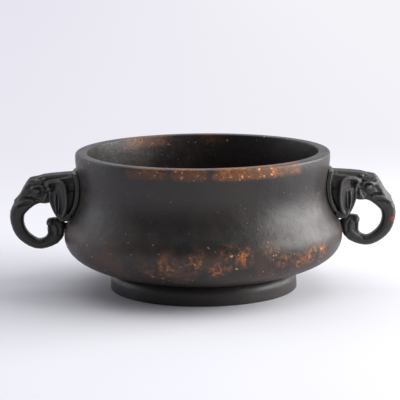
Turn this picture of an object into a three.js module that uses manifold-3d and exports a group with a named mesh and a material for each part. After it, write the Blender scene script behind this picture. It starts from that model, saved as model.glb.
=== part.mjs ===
// A low bronze incense burner: a round cast vessel on a ring foot, with two cast beast-head handles.
// Millimetres, +Z up, origin at the middle of the foot's resting face. The handles lie along X.
import * as THREE from "three";
import { mergeVertices } from "three/addons/utils/BufferGeometryUtils.js";
import Module from "manifold-3d";

const wasm = await Module();
wasm.setup();

// Vessel
const HEIGHT = 76;
const LIP_R = 70;
const LIP_WIDTH = 6.4;
const LIP_EDGE = 1.2;
const LIP_DEPTH = 4;
const NECK_R = 68.2;
const NECK_Z = 57.5;
const BELLY_R = 76.9;
const BELLY_Z = 30.2;
const NECK_REACH = 15.5;
const SHOULDER_REACH = 10;
const BELLY_REACH = 11.2;
const BASE_REACH = 13;
const BASE_SLOPE = 0.26;
const BELLY_WALL = 4.6;
const NECK_WALL = 5;
const FLOOR = 5;
const FLOOR_FLAT_R = 40;

// Foot ring
const FOOT_R = 51.4;
const FOOT_WALL = 4.4;
const FOOT_HEIGHT = 10.6;
const FOOT_FLARE = 0.3;
const BASE_OVERHANG = 0.5;

// Handles
const SEAT_GAP = 0.3;
const PLATE_THICKNESS = 2.2;
const PLATE_HALF_WIDTH = 12.5;
const PLATE_TOP = 65.5;
const PLATE_BOTTOM = 39.5;
const HANDLE_TOP = 65.3;
const HANDLE_REACH = 106.3;
const TRUNK_BOTTOM = 22;
const TRUNK_WIDTH = 8;
const EYE_SIZE = 0.21;
const EAR_THICKNESS = 2;
const EAR_TOP = 60.5;
const EAR_BOTTOM = 40.5;
const EAR_HALF_LENGTH = 5;

// Rivets
const RIVET_R = 2;
const RIVET_CLEARANCE = 0.3;
const RIVET_HEAD_R = 4.2;
const RIVET_HEAD_HEIGHT = 2.2;
const RIVET_BITE = 5;
const UPPER_RIVET_Z = 57;
const LOWER_RIVET_Z = 34.5;

// Facets
const ROUND_STEPS = 60;
const CURVE_STEPS = 8;
const SECTION_SIDES = 12;
const SWEEP_RINGS = 30;
const EAR_RINGS = 10;
const RIVET_SIDES = 12;

const BRONZE = { color: 0x2e2723, roughness: 0.42, metalness: 0.85 };
const DARK_BRONZE = { color: 0x262423, roughness: 0.5, metalness: 0.85 };
const WORN_BRONZE = { color: 0x4a3427, roughness: 0.45, metalness: 0.85 };

// A closed mesh as a manifold-3d solid.
function solidOf(geometry) {
  const bare = geometry.clone();
  bare.deleteAttribute("normal");
  bare.deleteAttribute("uv");
  const merged = mergeVertices(bare, 1e-4);
  return new wasm.Manifold(
    new wasm.Mesh({
      numProp: 3,
      vertProperties: merged.attributes.position.array,
      triVerts: new Uint32Array(merged.index.array),
    }),
  );
}

// A manifold-3d solid as a three.js geometry.
function geometryOf(solid) {
  const mesh = solid.getMesh();
  const geometry = new THREE.BufferGeometry();
  geometry.setAttribute("position", new THREE.BufferAttribute(mesh.vertProperties, 3));
  geometry.setIndex(new THREE.BufferAttribute(mesh.triVerts, 1));
  geometry.computeVertexNormals();
  return geometry;
}

function meshOf(name, geometry, finish) {
  const mesh = new THREE.Mesh(geometry, new THREE.MeshStandardMaterial(finish));
  mesh.name = name;
  return mesh;
}

// Points along a cubic curve, without its first point.
function curve(from, fromReach, toReach, to) {
  const bend = new THREE.CubicBezierCurve(from, fromReach, toReach, to);
  return bend.getPoints(CURVE_STEPS).slice(1);
}

const point = (r, z) => new THREE.Vector2(r, z);

// The outside of the vessel from the edge of its base up to the lip, moved out by a distance.
function outsideProfile(out = 0) {
  const base = point(FOOT_R + BASE_OVERHANG + out, FOOT_HEIGHT);
  const belly = point(BELLY_R + out, BELLY_Z);
  const neck = point(NECK_R + out, NECK_Z);
  const lip = point(LIP_R + out, HEIGHT - LIP_DEPTH);
  return [
    base,
    ...curve(
      base,
      point(base.x + BASE_REACH, base.y + BASE_REACH * BASE_SLOPE),
      point(belly.x, belly.y - BELLY_REACH),
      belly,
    ),
    ...curve(belly, point(belly.x, belly.y + SHOULDER_REACH), point(neck.x, neck.y - NECK_REACH), neck),
    ...curve(neck, point(neck.x, neck.y + LIP_DEPTH), point(lip.x, lip.y - LIP_DEPTH), lip),
  ];
}

function insideProfile() {
  const lip = point(LIP_R - LIP_WIDTH, HEIGHT);
  const neck = point(NECK_R - NECK_WALL, NECK_Z);
  const belly = point(BELLY_R - BELLY_WALL, BELLY_Z);
  const floor = point(FLOOR_FLAT_R, FOOT_HEIGHT + FLOOR);
  return [
    lip,
    neck,
    ...curve(neck, point(neck.x, neck.y - NECK_REACH), point(belly.x, belly.y + SHOULDER_REACH), belly),
    ...curve(belly, point(belly.x, belly.y - BELLY_REACH), point(floor.x + BASE_REACH, floor.y), floor),
    point(0, floor.y),
  ];
}

// A turned shape about +Z.
function turned(profile) {
  return new THREE.LatheGeometry(profile, ROUND_STEPS).rotateX(Math.PI / 2);
}

// A cylinder along +X from one x to another, at a height.
function shank(radius, fromX, toX, z) {
  return new THREE.CylinderGeometry(radius, radius, toX - fromX, RIVET_SIDES)
    .rotateZ(Math.PI / 2)
    .translate((fromX + toX) / 2, 0, z);
}

// The radius where a profile crosses a height.
function radiusAt(profile, z) {
  for (let i = 1; i < profile.length; i++) {
    const [a, b] = [profile[i - 1], profile[i]];
    if ((a.y - z) * (b.y - z) <= 0 && a.y !== b.y) return a.x + ((b.x - a.x) * (z - a.y)) / (b.y - a.y);
  }
  throw new Error("the profile doesn't reach height " + z);
}

const outside = outsideProfile();
const inside = insideProfile();
const rivetHeights = { upper: UPPER_RIVET_Z, lower: LOWER_RIVET_Z };

function vesselBody() {
  const lipEdge = [point(LIP_R, HEIGHT - LIP_EDGE), point(LIP_R - LIP_EDGE, HEIGHT)];
  let body = solidOf(turned([point(0, FOOT_HEIGHT), ...outside, ...lipEdge, ...inside]));
  for (const z of Object.values(rivetHeights))
    for (const side of [1, -1]) {
      const hole = shank(RIVET_R + RIVET_CLEARANCE, FOOT_R, BELLY_R + PLATE_THICKNESS, z);
      if (side < 0) hole.rotateZ(Math.PI);
      body = body.subtract(solidOf(hole));
    }
  return geometryOf(body);
}

function footRing() {
  const inner = FOOT_R - FOOT_WALL;
  return turned([
    point(inner, 0),
    point(FOOT_R + FOOT_FLARE, 0),
    point(FOOT_R + FOOT_FLARE, FOOT_FLARE),
    point(FOOT_R, FOOT_HEIGHT / 2),
    point(FOOT_R, FOOT_HEIGHT),
    point(inner, FOOT_HEIGHT),
    point(inner, 0),
  ]);
}

// A closed skin over rings of points, with a flat fan on each end.
function skin(rings) {
  const sides = rings[0].length;
  const vertices = rings.flat();
  const index = [];
  rings.slice(1).forEach((ring, r) => {
    for (let s = 0; s < sides; s++) {
      const next = (s + 1) % sides;
      const [a, b] = [r * sides + s, r * sides + next];
      index.push(a, b, a + sides, b, b + sides, a + sides);
    }
  });
  const cap = (ring, start, flip) => {
    const middle = ring.reduce((sum, p) => sum.add(p), new THREE.Vector3()).divideScalar(sides);
    vertices.push(middle);
    for (let s = 0; s < sides; s++) {
      const [a, b] = [start + s, start + ((s + 1) % sides)];
      index.push(vertices.length - 1, ...(flip ? [b, a] : [a, b]));
    }
  };
  cap(rings[0], 0, true);
  cap(rings.at(-1), (rings.length - 1) * sides, false);
  const geometry = new THREE.BufferGeometry().setFromPoints(vertices);
  geometry.setIndex(index);
  const solid = solidOf(geometry);
  return solid.volume() < 0 ? solidOf(flipped(geometry)) : solid;
}

function flipped(geometry) {
  const index = geometry.index.array;
  for (let i = 0; i < index.length; i += 3) [index[i + 1], index[i + 2]] = [index[i + 2], index[i + 1]];
  return geometry;
}

// A rounded section round a centre, spanned by two half-axes.
function section(centre, across, along) {
  const ring = [];
  for (let s = 0; s < SECTION_SIDES; s++) {
    const a = (2 * Math.PI * s) / SECTION_SIDES;
    const soft = (v) => Math.sign(v) * Math.abs(v) ** 0.75;
    ring.push(
      centre
        .clone()
        .addScaledVector(across, soft(Math.cos(a)))
        .addScaledVector(along, soft(Math.sin(a))),
    );
  }
  return ring;
}

// A place on the handle: a share of the way out from the neck, and a share of the way up from the trunk's bottom.
const out = (share) => NECK_R + share * (HANDLE_REACH - NECK_R);
const up = (share) => TRUNK_BOTTOM + share * (HANDLE_TOP - TRUNK_BOTTOM);
const outFromBelly = (share) => BELLY_R + share * (HANDLE_REACH - BELLY_R);

// Head and trunk as one sweep in the XZ plane. Each station is x and z, then thickness and width in trunk widths.
function headAndTrunk() {
  const stations = [
    [out(-0.03), up(0.873), 1.38, 2.12],
    [out(0.205), up(0.845), 1.63, 1.88],
    [out(0.467), up(0.781), 2.08, 1.63],
    [out(0.64), up(0.734), 1.81, 1.44],
    [out(0.782), up(0.614), 1.19, 1.19],
    [out(0.892), up(0.49), 1.05, 1.06],
    [out(0.906), up(0.36), 0.94, 1],
    [out(0.856), up(0.226), 0.88, 1],
    [out(0.751), up(0.129), 0.8, 1],
    [out(0.612), up(0.069), 0.73, 1],
    [outFromBelly(0.327), up(0.088), 0.78, 1],
    [outFromBelly(0.19), up(0.157), 1.08, 1.06],
    [outFromBelly(0.143), up(0.263), 1.3, 1.1],
    [outFromBelly(0.143), up(0.346), 1.2, 1],
    [outFromBelly(0.143), up(0.402), 0.75, 0.5],
  ];
  const path = new THREE.CatmullRomCurve3(stations.map(([x, z]) => new THREE.Vector3(x, 0, z)));
  const sizes = new THREE.CatmullRomCurve3(stations.map(([, , t, w]) => new THREE.Vector3(t, w, 0)));
  const rings = [];
  for (let i = 0; i <= SWEEP_RINGS; i++) {
    const t = i / SWEEP_RINGS;
    const along = path.getTangent(t);
    const size = sizes.getPoint(t).multiplyScalar(TRUNK_WIDTH / 2);
    const across = new THREE.Vector3(-along.z, 0, along.x).multiplyScalar(size.x);
    rings.push(section(path.getPoint(t), across, new THREE.Vector3(0, size.y, 0)));
  }
  return skin(rings);
}

// One ear: a curved leaf that flares back towards the vessel and comes to a point below.
function ear(side) {
  const rings = [];
  for (let i = 0; i <= EAR_RINGS; i++) {
    const t = i / EAR_RINGS;
    const leaf = 0.3 + 0.7 * Math.sin(Math.PI * (0.12 + 0.82 * t)) ** 0.8;
    const aside = side * TRUNK_WIDTH * (1.2 - 0.17 * t);
    const centre = new THREE.Vector3(out(0.3 - 0.03 * t), aside, EAR_TOP + (EAR_BOTTOM - EAR_TOP) * t);
    const flare = new THREE.Vector3(-0.78, side * 0.62, 0);
    const normal = new THREE.Vector3(0.62, side * 0.78, 0);
    rings.push(
      section(
        centre,
        flare.multiplyScalar(EAR_HALF_LENGTH * leaf),
        normal.multiplyScalar((EAR_THICKNESS / 2) * (0.6 + 0.4 * leaf)),
      ),
    );
  }
  return skin(rings);
}

// A rounded lump of the casting, its size and its distance to the side in trunk widths.
function lump(radius, stretch, x, aside, z) {
  return solidOf(
    new THREE.SphereGeometry(radius * TRUNK_WIDTH, 14, 10).scale(...stretch).translate(x, aside * TRUNK_WIDTH, z),
  );
}

const earScroll = (side) => lump(0.28, [1.3, 0.8, 1], out(0.42), side * 0.9, up(0.854));
const brow = (side) => lump(0.3, [1.7, 0.9, 0.8], out(0.635), side * 0.58, up(0.88));
const eye = (side) => lump(EYE_SIZE, [1, 1, 1], out(0.61), side * 0.65, up(0.77));

// The web that ties an ear's lower tip to the root plate.
function earWeb(side) {
  const web = new THREE.BoxGeometry(0.88 * TRUNK_WIDTH, 0.45 * TRUNK_WIDTH, 0.33 * TRUNK_WIDTH);
  return solidOf(web.translate(out(0.21), side * 1.17 * TRUNK_WIDTH, EAR_BOTTOM + 0.18 * TRUNK_WIDTH));
}

// The throat under the head, which closes the space between the ears and the root plate.
function throat() {
  const [back, front] = [out(-0.03), out(0.3)];
  const [low, high] = [EAR_BOTTOM + 0.2 * TRUNK_WIDTH, up(0.8)];
  const block = new THREE.BoxGeometry(front - back, 1.5 * TRUNK_WIDTH, high - low);
  return solidOf(block.translate((back + front) / 2, 0, (low + high) / 2));
}

// The plate against the vessel wall: a tongue with a round lower end, cut from a shell of the wall's own curve.
function rootPlate() {
  const tongue = new THREE.Shape();
  const corner = PLATE_HALF_WIDTH * 0.7;
  tongue.moveTo(-PLATE_HALF_WIDTH, PLATE_TOP);
  tongue.lineTo(-PLATE_HALF_WIDTH, PLATE_BOTTOM + corner);
  tongue.quadraticCurveTo(-PLATE_HALF_WIDTH, PLATE_BOTTOM, -PLATE_HALF_WIDTH + corner, PLATE_BOTTOM);
  tongue.lineTo(PLATE_HALF_WIDTH - corner, PLATE_BOTTOM);
  tongue.quadraticCurveTo(PLATE_HALF_WIDTH, PLATE_BOTTOM, PLATE_HALF_WIDTH, PLATE_BOTTOM + corner);
  tongue.lineTo(PLATE_HALF_WIDTH, PLATE_TOP);
  tongue.closePath();
  const depth = BELLY_R + PLATE_THICKNESS;
  const block = new THREE.ExtrudeGeometry(tongue, { depth, bevelEnabled: false, curveSegments: 6 })
    .rotateX(Math.PI / 2)
    .rotateZ(Math.PI / 2);
  return solidOf(block).intersect(vesselCore(SEAT_GAP + PLATE_THICKNESS));
}

// The vessel's outside as a plain solid, moved out by a distance.
function vesselCore(out) {
  const profile = outsideProfile(out);
  return solidOf(turned([point(0, FOOT_HEIGHT), ...profile, point(0, profile.at(-1).y)]));
}

function handle() {
  let cast = headAndTrunk().add(rootPlate()).add(throat());
  for (const side of [1, -1])
    for (const piece of [ear, earScroll, brow, eye, earWeb]) cast = cast.add(piece(side));
  cast = cast.subtract(vesselCore(SEAT_GAP));
  for (const z of Object.values(rivetHeights)) {
    const wall = radiusAt(outside, z);
    const reach = wall + RIVET_BITE + RIVET_CLEARANCE;
    cast = cast.subtract(solidOf(shank(RIVET_R + RIVET_CLEARANCE, FOOT_R, reach, z)));
  }
  return geometryOf(cast);
}

// A rivet: its shank runs out through the wall into the handle, and its peened head is inside.
function rivet(z) {
  const heights = [-1, -0.5, 0, 0.5, 1].map((share) => z + share * RIVET_HEAD_R);
  const wall = Math.min(...heights.map((height) => radiusAt(inside, height)));
  const face = wall - SEAT_GAP - RIVET_HEAD_R ** 2 / (2 * wall);
  const stem = shank(RIVET_R, face - RIVET_HEAD_HEIGHT / 2, radiusAt(outside, z) + RIVET_BITE, z);
  const head = new THREE.SphereGeometry(RIVET_HEAD_R, RIVET_SIDES, RIVET_SIDES / 2, 0, 2 * Math.PI, 0, Math.PI)
    .scale(RIVET_HEAD_HEIGHT / RIVET_HEAD_R, 1, 1)
    .translate(face, 0, z);
  const inward = shank(RIVET_HEAD_R * 2, face - RIVET_HEAD_HEIGHT * 2, face, z);
  return geometryOf(solidOf(head).intersect(solidOf(inward)).add(solidOf(stem)));
}

const burner = new THREE.Group();
burner.add(meshOf("vessel_body", vesselBody(), BRONZE));
burner.add(meshOf("foot_ring", footRing(), DARK_BRONZE));
for (const [side, turn] of [["right", 0], ["left", Math.PI]]) {
  const flank = new THREE.Group();
  flank.rotation.z = turn;
  flank.add(meshOf(side + "_handle", handle(), DARK_BRONZE));
  for (const [place, z] of Object.entries(rivetHeights))
    flank.add(meshOf(side + "_" + place + "_rivet", rivet(z), WORN_BRONZE));
  burner.add(flank);
}

export default burner;
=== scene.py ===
"""A low bronze incense burner: turned vessel and foot, cast beast-head handles and a worn brown patina."""

import math

import bmesh
import bpy
import numpy as np
from bpy.props import FloatProperty, FloatVectorProperty, IntProperty, PointerProperty
from mathutils import Matrix, Vector, noise


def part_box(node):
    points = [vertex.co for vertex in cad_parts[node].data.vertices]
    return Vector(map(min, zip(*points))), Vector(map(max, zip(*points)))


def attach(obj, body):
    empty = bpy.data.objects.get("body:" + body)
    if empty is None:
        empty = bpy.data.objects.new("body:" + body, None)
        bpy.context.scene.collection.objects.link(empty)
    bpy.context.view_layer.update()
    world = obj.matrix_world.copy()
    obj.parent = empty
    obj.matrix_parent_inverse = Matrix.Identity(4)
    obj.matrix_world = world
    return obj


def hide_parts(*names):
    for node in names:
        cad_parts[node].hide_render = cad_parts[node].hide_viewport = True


bl_info = {
    "name": "Bronze Incense Burner",
    "version": (1, 0, 0),
    "blender": (4, 5, 0),
    "location": "3D View > Sidebar > Burner",
    "description": "Dresses the packed incense burner with turned and cast bronze surfaces",
    "category": "Object",
}

MM = 0.001
ROOT = "root"

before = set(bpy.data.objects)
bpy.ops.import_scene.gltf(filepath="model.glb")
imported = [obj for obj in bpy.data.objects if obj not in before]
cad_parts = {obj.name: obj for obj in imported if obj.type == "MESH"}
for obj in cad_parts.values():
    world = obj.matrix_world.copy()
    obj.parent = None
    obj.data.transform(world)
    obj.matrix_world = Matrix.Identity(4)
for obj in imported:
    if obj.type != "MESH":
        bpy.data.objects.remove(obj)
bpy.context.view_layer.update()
BODY_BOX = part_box("vessel_body")
FOOT_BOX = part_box("foot_ring")
SIDES = {"right": 1, "left": -1}
# Points closer than this are one point.
MERGE = 0.001 * MM
# The rivets: radius of the stem, height of the peened head and steps round them.
RIVET_R = 2 * MM
RIVET_HEAD = 2.2 * MM
RIVET_STEPS = 40
# Steps along the curves of the vessel's outside, of its turn under the lip and of its inside.
OUTSIDE_STEPS = 34
LIP_STEPS = 8
INSIDE_STEPS = 20
# The share of the way to a corner that makes a cubic curve as round as a circle.
ROUNDNESS = 0.55


def length(label, text, default):
    """A length that a user can change, in metres."""
    return FloatProperty(name=label, description=text, default=default, unit="LENGTH", precision=5)


def count(label, text, default, least):
    """A whole number that a user can change."""
    return IntProperty(name=label, description=text, default=default, min=least)


def colour(label, text, default):
    """A linear colour that a user can change."""
    return FloatVectorProperty(
        name=label, description=text, default=default, subtype="COLOR", min=0, max=1
    )


class VesselSettings(bpy.types.PropertyGroup):
    """Sizes of the turned vessel and its foot."""

    lip_width: length("Lip width", "Width of the flat lip", 6.4 * MM)
    lip_edge: length("Lip edge", "Radius of the lip's worn outer edge", 1.4 * MM)
    lip_inner_edge: length("Inner lip edge", "Radius of the lip's inner edge", 0.7 * MM)
    neck_radius: length("Neck radius", "Outer radius of the neck", 68.2 * MM)
    neck_height: length("Neck height", "Height of the narrowest neck", 57.5 * MM)
    belly_height: length("Belly height", "Height of the widest belly", 30.2 * MM)
    lip_inset: length("Lip inset", "How far the lip stands inside the belly", 6.9 * MM)
    lip_reach: length("Lip reach", "Height over which the neck turns into the lip", 4 * MM)
    neck_reach: length("Neck reach", "Pull of the neck on the curve below it", 15.5 * MM)
    shoulder_reach: length("Shoulder reach", "Pull of the belly on the curve above it", 10 * MM)
    belly_reach: length("Belly reach", "Pull of the belly on the curve below it", 11.2 * MM)
    base_reach: length("Base reach", "Pull of the base outwards on the belly's curve", 13 * MM)
    base_rise: length("Base rise", "Pull of the base upwards on the belly's curve", 3.38 * MM)
    base_overhang: length("Base overhang", "How far the base stands past the foot", 0.2 * MM)
    wall: length("Wall", "Thickness of the belly wall", 4.6 * MM)
    neck_wall: length("Neck wall", "Thickness of the neck wall", 5 * MM)
    foot_wall: length("Foot wall", "Thickness of the ring foot", 5 * MM)
    foot_taper: length("Foot taper", "How much narrower the foot is above its rim", 0.25 * MM)
    floor: length("Floor", "Thickness of the floor", 5 * MM)
    floor_flat: length("Flat floor", "Radius of the floor's flat middle", 40 * MM)
    unevenness: length("Unevenness", "Depth of the slow waves that hand finishing leaves", 0.12 * MM)
    steps: count("Steps", "Steps round the vessel", 256, 48)


class HandleSettings(bpy.types.PropertyGroup):
    """Sizes of the cast handles' surface."""

    voxel: length("Voxel", "Size of the cast skin's grid", 0.32 * MM)
    smoothing: count("Smoothing", "Passes that soften the cast skin", 3, 0)
    ridge: length("Ridge", "Radius of the ridge along the head", 2.2 * MM)


class FinishSettings(bpy.types.PropertyGroup):
    """Colours of the patina and of the metal under it."""

    dark: colour("Dark patina", "Near-black brown of the deep patina", (0.011, 0.0095, 0.0095))
    brown: colour("Brown patina", "Warm brown where the patina is thin", (0.030, 0.021, 0.017))
    warm: colour("Reddish patina", "Red-brown of the lower belly", (0.085, 0.040, 0.024))
    # Near-black that the handles take in their folds and hollows.
    darkening: colour("Dirt", "Black dirt in the handles' folds", (0.0045, 0.0045, 0.004))
    copper: colour("Bare metal", "Copper bronze where the patina is rubbed off", (0.36, 0.135, 0.045))
    # Painted glints: pale flecks that stand in for light caught by pits and rubbed metal.
    bright: colour("Bright flecks", "Palest metal in the rubbed flecks", (0.75, 0.42, 0.2))
    handle: colour("Handle patina", "Green-black patina of the handles", (0.026, 0.0265, 0.0245))
    # Painted highlight: grey laid on the raised edges of the handles and rivets, where light catches them.
    raised: colour("Raised edges", "Grey bloom on the handles' raised edges", (0.17, 0.168, 0.155))
    wax: colour("Red spot", "Stray red spot on one trunk", (0.32, 0.03, 0.025))
    floor: colour("Floor", "Pale studio floor", (0.80, 0.80, 0.845))


class Wire:
    """A value in a material's tree. Sums and products of wires and numbers add Math nodes."""

    def __init__(self, tree, socket):
        self.tree = tree
        self.socket = socket

    def _math(self, operation, *values):
        return self.tree.add("ShaderNodeMath", {"operation": operation}, dict(enumerate(values)))

    def __add__(self, other):
        return self._math("ADD", self, other)

    def __sub__(self, other):
        return self._math("SUBTRACT", self, other)

    def __rsub__(self, other):
        return self._math("SUBTRACT", other, self)

    def __mul__(self, other):
        return self._math("MULTIPLY", self, other)

    __radd__ = __add__

    def larger(self, other):
        """The larger of two values."""
        return self._math("MAXIMUM", self, other)

    def step(self, low, high):
        """0 below low, 1 above high, and smooth between."""
        settings = {"interpolation_type": "SMOOTHSTEP"}
        return self.tree.add("ShaderNodeMapRange", settings, {0: self, 1: low, 2: high, 3: 0.0, 4: 1.0})


class Tree:
    """The node tree of one material."""

    def __init__(self, name):
        self.material = bpy.data.materials.new(name)
        self.material.use_nodes = True
        self.nodes = self.material.node_tree.nodes
        self.links = self.material.node_tree.links
        self.shader = self.nodes["Principled BSDF"]
        self.coords = self.add("ShaderNodeTexCoord", {}, {}, "Object")

    def add(self, kind, settings, inputs, output=0):
        """Adds a node of a kind with its settings and inputs, and gives one of its outputs."""
        node = self.nodes.new(kind)
        for key, value in settings.items():
            setattr(node, key, value)
        for key, value in inputs.items():
            self.plug(node.inputs[key], value)
        return Wire(self, node.outputs[output])

    def plug(self, socket, value):
        """Links a wire to a socket, or sets the socket's own value."""
        if isinstance(value, Wire):
            self.links.new(value.socket, socket)
        else:
            socket.default_value = value

    def noise(self, scale, detail=4.0, roughness=0.55, stretch=None):
        """Noise over the piece; the scale is in features per metre."""
        vector = self.coords
        if stretch:
            vector = self.add("ShaderNodeMapping", {}, {"Vector": vector, "Scale": stretch})
        inputs = {"Vector": vector, "Scale": scale, "Detail": detail, "Roughness": roughness}
        return self.add("ShaderNodeTexNoise", {}, inputs)

    def mix(self, share, first, second):
        """A colour between two colours."""
        node = self.nodes.new("ShaderNodeMix")
        node.data_type = "RGBA"
        for key, value in ((0, share), (6, first), (7, second)):
            self.plug(node.inputs[key], with_alpha(value))
        return Wire(self, node.outputs[2])

    def flecks(self, scale, share, size=0.2):
        """Small scattered flecks: the share of cells that have one, and its size within a cell."""
        node = self.nodes.new("ShaderNodeTexVoronoi")
        warp = self.add("ShaderNodeTexNoise", {}, {"Vector": self.coords, "Scale": scale * 2.0}, 1)
        shift = self.add("ShaderNodeVectorMath", {"operation": "SCALE"}, {0: warp, "Scale": 0.8 / scale})
        place = self.add("ShaderNodeVectorMath", {"operation": "ADD"}, {0: self.coords, 1: shift})
        self.plug(node.inputs["Vector"], place)
        self.plug(node.inputs["Scale"], scale)
        near = 1.0 - Wire(self, node.outputs["Distance"]).step(size * 0.6, size)
        chosen = self.add("ShaderNodeSeparateColor", {}, {0: Wire(self, node.outputs["Color"])})
        return near * chosen.step(1.0 - share, 1.02 - share)

    def near(self, centre, radius):
        """1 at a point of the piece, fading to 0 at a radius round it."""
        settings = {"operation": "DISTANCE"}
        away = self.add("ShaderNodeVectorMath", settings, {0: self.coords, 1: centre}, "Value")
        return 1.0 - away.step(0.0, radius)

    def split(self):
        """The piece's own x, y and z."""
        node = self.nodes.new("ShaderNodeSeparateXYZ")
        self.plug(node.inputs[0], self.coords)
        return [Wire(self, output) for output in node.outputs]

    def bump(self, height, distance):
        """A bumped normal from a height."""
        return self.add("ShaderNodeBump", {}, {"Height": height, "Distance": distance, "Strength": 1.0})

    def finish(self, **inputs):
        """Sets the surface shader's sockets and gives the material."""
        for key, value in inputs.items():
            self.plug(self.shader.inputs[key.replace("_", " ")], with_alpha(value))
        return self.material


def with_alpha(value):
    """A plain colour with its alpha, or any other value as it is."""
    return (*value, 1.0) if isinstance(value, tuple) else value


def plain(values):
    """A colour property as a tuple."""
    return tuple(float(v) for v in values)


# Rubbed patches on the belly: x, y, z and radius in millimetres, then strength.
RUBBED = [
    (5.6, -75.5, 24.6, 6.5, 1.15),
    (10, -75, 25.5, 6, 0.5),
    (19.6, -74.2, 31, 7.5, 0.95),
    (12, -76, 33.5, 8, 0.35),
    (-5.7, -76.6, 28.5, 10, 0.55),
    (-21, -73.3, 26, 10, 0.6),
    (-30, -69, 22, 9, 0.3),
    (41.3, -64.3, 26, 8, 0.55),
    (49.6, -57.5, 25.4, 8, 0.75),
    (56, -52, 27.5, 8, 0.8),
    (62, -45, 28.5, 8, 0.7),
    (34, -68, 34, 9, 0.3),
    (-44, 58, 24, 14, 0.5),
    (35, 64, 26, 13, 0.45),
    (-70, 16, 24, 12, 0.4),
]
# Rubbed stretches of the lip's edge, written the same way.
LIP_WEAR = [
    (15, -68, 73, 18, 1.2),
    (30, -63, 74, 18, 1.0),
    (44, -54, 75, 16, 0.6),
    (-8, -69, 73, 16, 0.7),
    (-30, -63, 73, 20, 0.45),
    (-34, 58, 75, 26, 0.6),
    (8, 69, 75, 16, 0.3),
]
# The stray red spot on the right trunk.
RED_SPOT = (105 * MM, -4.5 * MM, 37 * MM)
RED_SPOT_R = 2.6 * MM
# Heights between which the reddish belly comes in and fades out, and the lip's wear comes in.
WARM_IN = (9 * MM, 20 * MM)
WARM_OUT = (30 * MM, 42 * MM)
LIP_IN = (69 * MM, 72.2 * MM)
# Depths of the fine unevenness in each patina.
VESSEL_BUMP = 0.16 * MM
HANDLE_BUMP = 0.18 * MM


def bronze_patina(finish, wear=1.0):
    """Polished brown-black patina on bronze, rubbed through to copper in patches and along the lip, with
    painted glints on its pits and rubbed places.

    A wear of 0 leaves out the rubbed places, the painted glints and the reddish belly, as on the foot.
    """
    tree = Tree("brown_patina" if wear else "foot_patina")
    z = tree.split()[2]
    cloud = tree.noise(26, 3.0).step(0.36, 0.66)
    mottle = tree.noise(140, 6.0, 0.62).step(0.38, 0.68)
    grain = tree.noise(900, 4.0, 0.6)
    scratch = tree.noise(190, 4.0, 0.6, stretch=(1.0, 1.0, 9.0)).step(0.62, 0.74)
    speck = tree.flecks(420, 0.05, 0.28).larger(tree.flecks(760, 0.035, 0.3))
    colour = tree.mix(cloud * 0.55 + mottle * 0.35, plain(finish.dark), plain(finish.brown))
    low_belly = z.step(*WARM_IN) * (1.0 - z.step(*WARM_OUT))
    warm = low_belly * tree.noise(60, 4.0).step(0.42, 0.66)
    colour = tree.mix(warm * 0.6 * wear, colour, plain(finish.warm))
    rubbed = warm * speck * 0.5
    breakup = tree.noise(330, 5.0, 0.7).step(0.44, 0.62)
    for px, py, pz, radius, strength in RUBBED:
        patch = tree.near((px * MM, py * MM, pz * MM), radius * MM)
        rubbed = rubbed.larger(patch * breakup * strength * 1.3)
    edge = z.step(*LIP_IN)
    for px, py, pz, radius, strength in LIP_WEAR:
        patch = tree.near((px * MM, py * MM, pz * MM), radius * MM)
        rubbed = rubbed.larger(patch.step(0.1, 0.7) * edge * breakup.larger(0.35) * strength)
    rubbed = (rubbed * wear).larger(speck * mottle * 0.2)
    colour = tree.mix(rubbed, colour, plain(finish.copper))
    busy = low_belly.larger(edge) * 0.85 + 0.15
    # Painted glints: pale flecks in the rubbed places and on the pits, standing in for light that they
    # catch.
    glint = rubbed.step(0.3, 0.8) * tree.noise(760, 3.0, 0.6).step(0.55, 0.66)
    fleck = glint.larger(speck * busy * wear * 0.8)
    colour = tree.mix(fleck, colour, plain(finish.bright))
    rough = 0.4 + mottle * 0.1 + rubbed * 0.1 - scratch * 0.05
    height = grain * 0.35 + mottle * 0.5 - speck * 0.8 + scratch * 0.15 + rubbed * -0.4
    return tree.finish(
        Base_Color=colour,
        Roughness=rough,
        Metallic=rubbed.step(0.2, 0.8) * 0.7,
        Specular_IOR_Level=0.5,
        Normal=tree.bump(height, VESSEL_BUMP),
    )


def handle_patina(finish):
    """Green-black patina, with a painted grey highlight on raised edges and near-black in the folds."""
    tree = Tree("handle_patina")
    raised = tree.add("ShaderNodeAttribute", {"attribute_name": "raised"}, {}, "Fac")
    mottle = tree.noise(240, 5.0, 0.6).step(0.35, 0.68)
    grain = tree.noise(1300, 3.0, 0.6)
    # Painted highlight: grey on the raised edges, partly metallic.
    highlight = raised.step(0.52, 0.85) * (0.45 + mottle * 0.55)
    # Darker, towards near-black, in the folds.
    deep = 1.0 - raised.step(0.18, 0.5)
    colour = tree.mix(mottle * 0.5, plain(finish.handle), plain(finish.brown))
    colour = tree.mix(deep * 0.75, colour, plain(finish.darkening))
    colour = tree.mix(highlight * 0.75, colour, plain(finish.raised))
    spot = tree.near(RED_SPOT, RED_SPOT_R).step(0.1, 0.35) * tree.noise(700).step(0.3, 0.5)
    colour = tree.mix(spot * 0.8, colour, plain(finish.wax))
    return tree.finish(
        Base_Color=colour,
        Roughness=0.38 + deep * 0.25 + mottle * 0.1,
        Metallic=highlight * 0.2,
        Specular_IOR_Level=0.5,
        Normal=tree.bump(grain * 0.4 + mottle * 0.6, HANDLE_BUMP),
    )


def link(name, bm, material, replaced):
    """Makes a finished piece from a bmesh, riding on the root and standing for CAD nodes."""
    mesh = bpy.data.meshes.new(name)
    bm.to_mesh(mesh)
    bm.free()
    piece = bpy.data.objects.new(name, mesh)
    bpy.context.scene.collection.objects.link(piece)
    mesh.shade_smooth()
    mesh.materials.append(material)
    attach(piece, ROOT)
    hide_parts(*replaced)
    return piece


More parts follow.
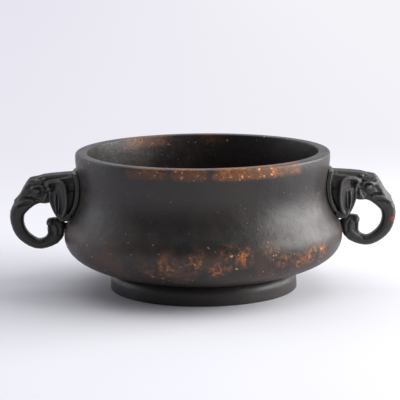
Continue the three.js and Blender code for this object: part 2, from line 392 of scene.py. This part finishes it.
def bend(start, reach_start, reach_end, end, steps):
    """Points along a cubic curve from one radius and height to another, without the first."""
    points = []
    for i in range(1, steps + 1):
        t = i / steps
        weights = ((1 - t) ** 3, 3 * (1 - t) ** 2 * t, 3 * (1 - t) * t * t, t**3)
        pulls = zip((start, reach_start, reach_end, end), weights)
        points.append(tuple(sum((Vector(p) * w for p, w in pulls), Vector((0, 0)))))
    return points


def shifted(point, outwards, upwards):
    """A point of a profile moved outwards and upwards."""
    return point[0] + outwards, point[1] + upwards


def round_edge(corner, before, after, radius, steps=6):
    """Points of a rounded corner between two neighbours."""
    corner = Vector(corner)
    start = corner + (Vector(before) - corner).normalized() * radius
    end = corner + (Vector(after) - corner).normalized() * radius
    pulls = (start.lerp(corner, ROUNDNESS), end.lerp(corner, ROUNDNESS))
    return [tuple(start), *bend(start, *pulls, end, steps)]


def spin_profile(profile, steps):
    """A turned surface about the vertical axis from points of radius and height."""
    bm = bmesh.new()
    verts = [bm.verts.new((r, 0, z)) for r, z in profile]
    edges = [bm.edges.new(pair) for pair in zip(verts, verts[1:])]
    bmesh.ops.spin(
        bm,
        geom=verts + edges,
        cent=(0, 0, 0),
        axis=(0, 0, 1),
        angle=2 * math.pi,
        steps=steps,
        use_merge=True,
    )
    bmesh.ops.remove_doubles(bm, verts=bm.verts, dist=MERGE)
    bmesh.ops.recalc_face_normals(bm, faces=bm.faces)
    return bm


def hand_worked(bm, depth, waves=34.0, sink=0.6):
    """Moves a turned surface in slow waves, sunk so that they lie mostly inside its true size."""
    for vert in bm.verts:
        wave = noise.noise(vert.co * waves) - sink
        outward = Vector((vert.co.x, vert.co.y, 0))
        if outward.length > 0.1 * MM:
            vert.co += outward.normalized() * wave * depth


class BURNER_OT_vessel(bpy.types.Operator):
    """Turn the smooth vessel with its lip, neck, belly and floor"""

    bl_idname = "burner.vessel"
    bl_label = "Vessel"

    def execute(self, context):
        s = context.scene.burner_vessel
        low, high = BODY_BOX
        foot_r = FOOT_BOX[1].x
        base = (foot_r + s.base_overhang, low.z)
        belly = (high.x, s.belly_height)
        neck = (s.neck_radius, s.neck_height)
        lip = (high.x - s.lip_inset, high.z)
        under_lip = shifted(lip, 0, -s.lip_reach)
        pulls = (shifted(base, s.base_reach, s.base_rise), shifted(belly, 0, -s.belly_reach))
        outside = [base, *bend(base, *pulls, belly, OUTSIDE_STEPS)]
        pulls = (shifted(belly, 0, s.shoulder_reach), shifted(neck, 0, -s.neck_reach))
        outside += bend(belly, *pulls, neck, OUTSIDE_STEPS)
        pulls = (shifted(neck, 0, s.lip_reach), shifted(under_lip, 0, -s.lip_reach))
        outside += bend(neck, *pulls, under_lip, LIP_STEPS)
        lip_in = shifted(lip, -s.lip_width, 0)
        neck_in = shifted(neck, -s.neck_wall, 0)
        belly_in = shifted(belly, -s.wall, 0)
        floor = (s.floor_flat, low.z + s.floor)
        edges = round_edge(lip, outside[-1], lip_in, s.lip_edge)
        edges += round_edge(lip_in, lip, neck_in, s.lip_inner_edge, 4)
        pulls = (shifted(neck_in, 0, -s.neck_reach), shifted(belly_in, 0, s.shoulder_reach))
        inside = [neck_in, *bend(neck_in, *pulls, belly_in, INSIDE_STEPS)]
        pulls = (shifted(belly_in, 0, -s.belly_reach), shifted(floor, s.base_reach, 0))
        inside += bend(belly_in, *pulls, floor, INSIDE_STEPS)
        under = [(0, low.z), (foot_r - s.foot_wall, low.z)]
        middle = [(floor[0] / 2, floor[1]), (0, floor[1])]
        bm = spin_profile([*under, *outside, *edges, *inside, *middle], s.steps)
        hand_worked(bm, s.unevenness)
        link("vessel", bm, bronze_patina(context.scene.burner_finish), ["vessel_body"])
        return {"FINISHED"}


class BURNER_OT_foot(bpy.types.Operator):
    """Turn the ring foot"""

    bl_idname = "burner.foot"
    bl_label = "Foot"

    def execute(self, context):
        s = context.scene.burner_vessel
        outer, top = FOOT_BOX[1].x, FOOT_BOX[1].z
        inner = outer - s.foot_wall
        waist = outer - s.foot_taper
        worn, crisp = 0.6 * MM, 0.4 * MM
        rim = round_edge((outer, 0), (inner, 0), (waist, top / 2), worn)
        profile = [(inner, crisp), (inner + crisp, 0), *rim, (waist, top / 2), (waist, top), (inner, top)]
        bm = spin_profile([*profile, profile[0]], s.steps)
        link("foot", bm, bronze_patina(context.scene.burner_finish, 0.0), ["foot_ring"])
        return {"FINISHED"}


def tube(bm, points, radius, segments=12, taper=0.55):
    """A round bar along points in millimetres, with a radius in metres, tapered at both ends."""
    path = [Vector(p) * MM for p in points]
    rings = []
    for i, centre in enumerate(path):
        ahead = path[min(i + 1, len(path) - 1)] - path[max(i - 1, 0)]
        turn = ahead.to_track_quat("Z", "Y").to_matrix().to_4x4()
        at_end = i in (0, len(path) - 1)
        reach = radius * taper if at_end else radius
        size = Matrix.Diagonal((reach, reach, 1, 1))
        made = bmesh.ops.create_circle(
            bm,
            cap_ends=at_end,
            segments=segments,
            radius=1.0,
            matrix=Matrix.Translation(centre) @ turn @ size,
        )
        rings.append({e for v in made["verts"] for e in v.link_edges})
    for first, second in zip(rings, rings[1:]):
        bmesh.ops.bridge_loops(bm, edges=list(first | second))


def smooth_path(points, steps=5):
    """More points along the same way, on a curve through them."""
    pts = [Vector(p) for p in points]
    pts = [pts[0] * 2 - pts[1], *pts, pts[-1] * 2 - pts[-2]]
    made = []
    for a, b, c, d in zip(pts, pts[1:], pts[2:], pts[3:]):
        for i in range(steps):
            t = i / steps
            bowed = (2 * a - 5 * b + 4 * c - d) * t**2 + (3 * b - a - 3 * c + d) * t**3
            made.append(0.5 * (2 * b + (c - a) * t + bowed))
    return [tuple(p) for p in [*made, pts[-2]]]


def bead(bm, centre, size, stretch):
    """A rounded lump of the casting; its centre and size are in millimetres."""
    place = Matrix.Translation(Vector(centre) * MM) @ Matrix.Diagonal((*stretch, 1))
    bmesh.ops.create_uvsphere(bm, u_segments=20, v_segments=14, radius=size * MM, matrix=place)


# Raised bars of each side of a head, in millimetres: points of x outwards, y aside and z up, and a radius.
EAR_RIM = [
    (84.2, 8.4, 57.4),
    (85, 8.6, 59.2),
    (83, 9.2, 60.9),
    (79, 10.6, 61.2),
    (75.8, 12, 59),
    (74.9, 12.4, 53),
    (75.1, 12.2, 47),
    (76.6, 11, 42.6),
    (79, 9.6, 40.2),
]
EAR_FRONT = [(83.6, 6.9, 56), (83.9, 6.6, 52), (83, 6.6, 47.6), (81, 7.2, 43.2), (78.9, 8.6, 40.4)]
BARS = [
    (EAR_RIM, 1.0),
    (EAR_FRONT, 0.85),
    ([(78.2, 10.9, 55.5), (78.6, 10.7, 50), (79, 10.2, 44.5)], 0.55),
    ([(80.6, 9.9, 54), (80.9, 9.8, 49), (80.2, 9.6, 43.6)], 0.55),
    ([(86.6, 5.6, 61.2), (89.5, 6.1, 60.2), (92.6, 5.6, 60.6), (95.2, 4.4, 59.6)], 1.15),
    ([(87.4, 6.4, 57.6), (89.8, 6.6, 58.6), (92.6, 6, 57.8), (94.2, 5.2, 56)], 0.8),
    ([(92.8, 5, 49.4), (95.2, 4.9, 50.4), (98.2, 4.6, 49.8), (101.2, 4.2, 48.2), (103.8, 3, 46.4)], 0.9),
    ([(85.8, 6.7, 54.6), (86.6, 6.9, 51.4), (88.4, 6.7, 49)], 0.8),
    ([(72, 9.4, 40.6), (75, 9.8, 40.4), (79, 9.4, 40.4)], 1.5),
]
# Beads of each side: centre and radius in millimetres, and how each is stretched.
BEADS = [
    ((84.2, 8.4, 57.2), 1.35, (1, 1, 1)),
    ((90.6, 5.9, 55.3), 1.5, (1.15, 0.9, 0.9)),
    ((87.2, 5.6, 61), 1.5, (1, 1, 1)),
    ((95, 4.1, 60), 1.4, (1, 1, 1)),
    ((91.6, 5.4, 60.6), 1.3, (1, 1, 1)),
    ((84.6, 1.6, 36.8), 2.3, (0.9, 1.2, 1)),
]
# The ridge along the middle of the head, from the neck over the brow to the nose: x and z in millimetres.
RIDGE = [(70, 62.8), (80, 62.2), (90, 61), (94.4, 59.6), (96.6, 56.2), (99.6, 51.4), (103.4, 47.2)]
# Pressed strokes in the plane of the handle, in millimetres: points of x and z, reach, and depth below 0.
STROKES = [
    ([(78.6, 57.5), (77.6, 51), (78.4, 45)], 2.3, -0.5),
    ([(82.2, 58.2), (82.4, 56.4)], 1.2, -0.7),
    ([(86.4, 56.6), (88.4, 53.4), (90.6, 51.6)], 0.9, -0.55),
    ([(95.4, 55), (97.2, 52.2), (95, 51.6)], 1.2, -0.6),
    ([(90, 50.2), (93.6, 51.4), (97.6, 51.6)], 0.6, -0.45),
    ([(101.4, 46.4), (98.6, 47.4), (95.4, 47.8)], 0.7, -0.5),
    ([(84.6, 31.6), (84.9, 33.6)], 1.5, -1.7),
    ([(84.4, 30.2), (86.2, 28.4), (88.6, 26.8)], 0.7, -0.5),
    ([(79.6, 30.5), (79.8, 34.5), (81.6, 37.4), (83.6, 36.6)], 0.8, -0.35),
    ([(74, 63.4), (82, 62), (90, 60.8)], 0.7, -0.4),
]


def cast_details(bm, ridge):
    """Adds the ears' rims, brows, eyes and trunk folds to a handle on +X."""
    for side in (1, -1):
        for points, radius in BARS:
            tube(bm, smooth_path([(x, side * y, z) for x, y, z in points]), radius * MM)
        for (x, y, z), size, stretch in BEADS:
            bead(bm, (x, side * y, z), size, stretch)
    tube(bm, smooth_path([(x, 0, z) for x, z in RIDGE]), ridge)


def cast_skin(piece, settings):
    """Fuses a piece's overlapping shapes into one cast skin and softens it."""
    remesh = piece.modifiers.new("skin", "REMESH")
    remesh.mode = "VOXEL"
    remesh.voxel_size = settings.voxel
    soften = piece.modifiers.new("soften", "SMOOTH")
    soften.factor = 0.5
    soften.iterations = settings.smoothing
    graph = bpy.context.evaluated_depsgraph_get()
    fused = bpy.data.meshes.new_from_object(piece.evaluated_get(graph))
    piece.modifiers.clear()
    piece.data = fused


def places_and_normals(mesh):
    """The vertices' places and normals, as two arrays."""
    found = []
    for source, key in ((mesh.vertices, "co"), (mesh.vertex_normals, "vector")):
        values = np.zeros(len(mesh.vertices) * 3, np.float32)
        source.foreach_get(key, values)
        found.append(values.reshape(-1, 3).astype(float))
    return found


def carve(mesh, side, edge_on=0.2, face_on=0.7):
    """Presses the strokes into both faces of a handle, and less where the surface turns edge on."""
    places, normals = places_and_normals(mesh)
    flat = np.stack([places[:, 0] * side, places[:, 2]], 1) / MM
    facing = np.clip((np.abs(normals[:, 1]) - edge_on) / (face_on - edge_on), 0, 1)
    push = np.zeros(len(places))
    for points, width, depth in STROKES:
        nearest = np.full(len(places), np.inf)
        for a, b in zip(np.array(points[:-1], float), np.array(points[1:], float)):
            along = np.clip(((flat - a) @ (b - a)) / ((b - a) @ (b - a)), 0, 1)
            nearest = np.minimum(nearest, np.linalg.norm(flat - a - along[:, None] * (b - a), axis=1))
        push += depth * np.exp(-((nearest / width) ** 2))
    places += normals * (push * facing)[:, None] * MM
    mesh.vertices.foreach_set("co", places.astype(np.float32).ravel())
    mesh.update()


def mark_raised(mesh, passes=5, full=0.22 * MM):
    """Writes how far each vertex stands out of its surroundings, from 0 in folds to 1 on full edges."""
    places, normals = places_and_normals(mesh)
    ends = np.zeros(len(mesh.edges) * 2, np.int32)
    mesh.edges.foreach_get("vertices", ends)
    a, b = ends.reshape(-1, 2).T
    neighbours = np.bincount(ends, minlength=len(places))[:, None]
    mean = places.copy()
    for _ in range(passes):
        total = np.zeros_like(mean)
        np.add.at(total, a, mean[b])
        np.add.at(total, b, mean[a])
        mean = total / neighbours
    stands = np.einsum("ij,ij->i", places - mean, normals) / full
    attribute = mesh.attributes.new("raised", "FLOAT", "POINT")
    attribute.data.foreach_set("value", np.clip(0.5 + 0.5 * stands, 0, 1).astype(np.float32))


class BURNER_OT_handles(bpy.types.Operator):
    """Cast both beast-head handles"""

    bl_idname = "burner.handles"
    bl_label = "Handles"

    def execute(self, context):
        settings = context.scene.burner_handle
        material = handle_patina(context.scene.burner_finish)
        for name, side in SIDES.items():
            node = name + "_handle"
            bm = bmesh.new()
            bm.from_mesh(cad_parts[node].data)
            bmesh.ops.remove_doubles(bm, verts=bm.verts, dist=MERGE)
            turn = Matrix.Rotation(math.pi if side < 0 else 0, 4, "Z")
            bmesh.ops.transform(bm, matrix=turn, verts=bm.verts)
            cast_details(bm, settings.ridge)
            bmesh.ops.transform(bm, matrix=turn, verts=bm.verts)
            piece = link(name + "_handle_casting", bm, material, [node])
            cast_skin(piece, settings)
            carve(piece.data, side)
            piece.data.materials.clear()
            piece.data.materials.append(material)
            piece.data.shade_smooth()
            mark_raised(piece.data)
        return {"FINISHED"}


class BURNER_OT_rivets(bpy.types.Operator):
    """Round the peened heads of the four rivets"""

    bl_idname = "burner.rivets"
    bl_label = "Rivets"

    def execute(self, context):
        # The rivets take the same material, with its painted highlight on their raised heads.
        material = handle_patina(context.scene.burner_finish)
        material.name = "rivet_patina"
        for name, side in SIDES.items():
            for place in ("upper", "lower"):
                node = f"{name}_{place}_rivet"
                low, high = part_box(node)
                head_r = (high.z - low.z) / 2
                stem = high.x - low.x - RIVET_HEAD
                arc = [math.radians(a) for a in range(0, 91, 10)]
                profile = [(head_r * math.sin(a), -RIVET_HEAD * math.cos(a)) for a in arc]
                profile += [(RIVET_R, 0), (RIVET_R, stem), (0, stem)]
                bm = spin_profile(profile, RIVET_STEPS)
                turn = Vector((side, 0, 0)).to_track_quat("Z", "Y").to_matrix().to_4x4()
                inner = low.x if side > 0 else high.x
                seat = Matrix.Translation((inner + side * RIVET_HEAD, 0, (low.z + high.z) / 2))
                bmesh.ops.transform(bm, matrix=seat @ turn, verts=bm.verts)
                piece = link(node + "_peened", bm, material, [node])
                mark_raised(piece.data)
        return {"FINISHED"}


def area_lamp(name, place, target, size, power, tint):
    """A soft rectangular lamp that faces a point."""
    lamp = bpy.data.lights.new(name, "AREA")
    lamp.shape = "RECTANGLE"
    lamp.size, lamp.size_y = size
    lamp.energy = power
    lamp.color = tint
    holder = bpy.data.objects.new(name, lamp)
    holder.location = place
    holder.rotation_euler = (Vector(target) - Vector(place)).to_track_quat("-Z", "Y").to_euler()
    bpy.context.scene.collection.objects.link(holder)


# Linear colours of the surrounding in front of the burner and behind it, and the part of the view, from
# -1 in front to 1 behind, in which one turns into the other.
WORLD_FRONT = (0.15, 0.15, 0.165)
WORLD_BACK = (0.82, 0.82, 0.88)
WORLD_TURN = (-0.25, 0.75)
# Linear colours of the glowing ground on the left and the right, and where, in metres, one turns into the
# other. The darker left and lighter right are painted light, falling off away from the window lamp on the
# right.
GROUND_LEFT = (0.80, 0.79, 0.875)
GROUND_RIGHT = (0.91, 0.9, 0.945)
GROUND_TURN = (-0.4, 0.4)
# Half the floor's side, and how far from the middle its paper turns into even ground, in metres.
FLOOR_REACH = 6
FLOOR_FADE = (0.16, 0.62)
# The lamps: name, place, point that it faces and size in metres, power in watts and colour.
LAMPS = [
    ("window_right", (1.1, 0.05, 0.46), (0, 0, 0.04), (1.4, 0.85), 27, (1.0, 0.99, 0.975)),
    ("wall_left", (-1.1, 0.3, 0.4), (0, 0, 0.04), (0.9, 0.7), 2.0, (0.95, 0.96, 1.0)),
    ("ceiling", (0, 0.1, 1.5), (0, 0, 0), (2.0, 2.0), 9, (1.0, 1.0, 1.0)),
]

# The camera: the frame's side in pixels, its angles, its distance from the burner's middle in metres and
# its focal length in pixels, then the burner's middle in metres and where it lies in the frame, in pixels.
FRAME_SIDE = 400
PITCH = math.radians(10.65)
AZIMUTH = math.radians(-1.0)
ROLL = math.radians(-0.5)
DISTANCE = 0.96
FOCAL = 1734
MIDDLE = Vector((0, 0, 0.0375))
MIDDLE_IN_FRAME = (203.0, 219.1)


def place_camera():
    """Puts the camera at the photograph's angle, with the burner's middle at its place in the frame."""
    data = bpy.data.cameras.new("camera")
    data.sensor_width = 36
    data.lens = FOCAL * data.sensor_width / FRAME_SIDE
    camera = bpy.data.objects.new("camera", data)
    level = Vector((math.sin(AZIMUTH), -math.cos(AZIMUTH), 0)) * math.cos(PITCH)
    back = level + Vector((0, 0, math.sin(PITCH)))
    aim = (-back).to_track_quat("-Z", "Y").to_matrix().to_4x4()
    side = (MIDDLE_IN_FRAME[0] - FRAME_SIDE / 2) / FOCAL
    drop = (MIDDLE_IN_FRAME[1] - FRAME_SIDE / 2) / FOCAL
    nudge = Matrix.Rotation(side, 4, "Y") @ Matrix.Rotation(drop, 4, "X")
    nudge = nudge @ Matrix.Rotation(ROLL, 4, "Z")
    camera.matrix_world = Matrix.Translation(MIDDLE + back * DISTANCE) @ aim @ nudge
    bpy.context.scene.collection.objects.link(camera)
    bpy.context.scene.camera = camera


def light_world():
    """A surrounding that is pale behind the burner and dim in front of it, as at a window."""
    world = bpy.data.worlds.new("studio")
    bpy.context.scene.world = world
    world.use_nodes = True
    nodes, links = world.node_tree.nodes, world.node_tree.links
    coords = nodes.new("ShaderNodeTexCoord")
    split = nodes.new("ShaderNodeSeparateXYZ")
    links.new(coords.outputs["Generated"], split.inputs[0])
    ramp = nodes.new("ShaderNodeMapRange")
    ramp.interpolation_type = "SMOOTHSTEP"
    ramp.inputs[1].default_value, ramp.inputs[2].default_value = WORLD_TURN
    links.new(split.outputs[1], ramp.inputs[0])
    mix = nodes.new("ShaderNodeMix")
    mix.data_type = "RGBA"
    links.new(ramp.outputs[0], mix.inputs[0])
    mix.inputs[6].default_value = (*WORLD_FRONT, 1)
    mix.inputs[7].default_value = (*WORLD_BACK, 1)
    links.new(mix.outputs[2], nodes["Background"].inputs[0])


def pale_floor(albedo):
    """Paper that takes the burner's shadow, and turns away from it into a pale ground that glows for the
    camera and in reflections, painted darker on the left and lighter on the right as the window light
    falls.
    """
    tree = Tree("pale_floor")
    x = tree.split()[0]
    away = tree.add("ShaderNodeVectorMath", {"operation": "LENGTH"}, {0: tree.coords}, "Value")
    path = tree.nodes.new("ShaderNodeLightPath")
    seen = Wire(tree, path.outputs["Is Camera Ray"]) + Wire(tree, path.outputs["Is Glossy Ray"])
    # Painted light: the glowing ground goes from darker on the left to lighter on the right.
    ground = tree.mix(x.step(*GROUND_TURN), GROUND_LEFT, GROUND_RIGHT)
    glow = tree.add("ShaderNodeEmission", {}, {"Color": ground, "Strength": 1.0})
    blend = tree.nodes.new("ShaderNodeMixShader")
    tree.plug(blend.inputs[0], away.step(*FLOOR_FADE) * seen)
    tree.links.new(tree.shader.outputs[0], blend.inputs[1])
    tree.plug(blend.inputs[2], glow)
    tree.links.new(blend.outputs[0], tree.nodes["Material Output"].inputs[0])
    return tree.finish(Base_Color=albedo, Roughness=0.9, Specular_IOR_Level=0.1)


class BURNER_OT_stage(bpy.types.Operator):
    """Lay the pale floor, the soft lamps and the camera"""

    bl_idname = "burner.stage"
    bl_label = "Stage"

    def execute(self, context):
        bm = bmesh.new()
        bmesh.ops.create_grid(bm, x_segments=2, y_segments=2, size=FLOOR_REACH)
        mesh = bpy.data.meshes.new("studio_floor")
        bm.to_mesh(mesh)
        bm.free()
        floor = bpy.data.objects.new("studio_floor", mesh)
        context.scene.collection.objects.link(floor)
        mesh.materials.append(pale_floor(plain(context.scene.burner_finish.floor)))
        light_world()
        for lamp in LAMPS:
            area_lamp(*lamp)
        context.scene.view_settings.view_transform = "Standard"
        place_camera()
        return {"FINISHED"}


class BURNER_PT_panel(bpy.types.Panel):
    """Lists the pieces of the burner"""

    bl_idname = "BURNER_PT_panel"
    bl_label = "Incense burner"
    bl_space_type = "VIEW_3D"
    bl_region_type = "UI"
    bl_category = "Burner"

    def draw(self, context):
        for operator in OPERATORS:
            self.layout.operator(operator.bl_idname)
        for group in SETTINGS:
            values = getattr(context.scene, group)
            for key in values.bl_rna.properties.keys():
                if key not in ("rna_type", "name"):
                    self.layout.prop(values, key)


OPERATORS = (BURNER_OT_stage, BURNER_OT_vessel, BURNER_OT_foot, BURNER_OT_handles, BURNER_OT_rivets)
SETTINGS = {
    "burner_vessel": VesselSettings,
    "burner_handle": HandleSettings,
    "burner_finish": FinishSettings,
}


def register():
    for kind in (*SETTINGS.values(), *OPERATORS, BURNER_PT_panel):
        bpy.utils.register_class(kind)
    for name, kind in SETTINGS.items():
        setattr(bpy.types.Scene, name, PointerProperty(type=kind))


def unregister():
    for name in SETTINGS:
        delattr(bpy.types.Scene, name)
    for kind in reversed((*SETTINGS.values(), *OPERATORS, BURNER_PT_panel)):
        bpy.utils.unregister_class(kind)


def main():
    register()
    bpy.ops.burner.stage()
    bpy.ops.burner.vessel()
    bpy.ops.burner.foot()
    bpy.ops.burner.handles()
    bpy.ops.burner.rivets()


if __name__ == "__main__":
    main()
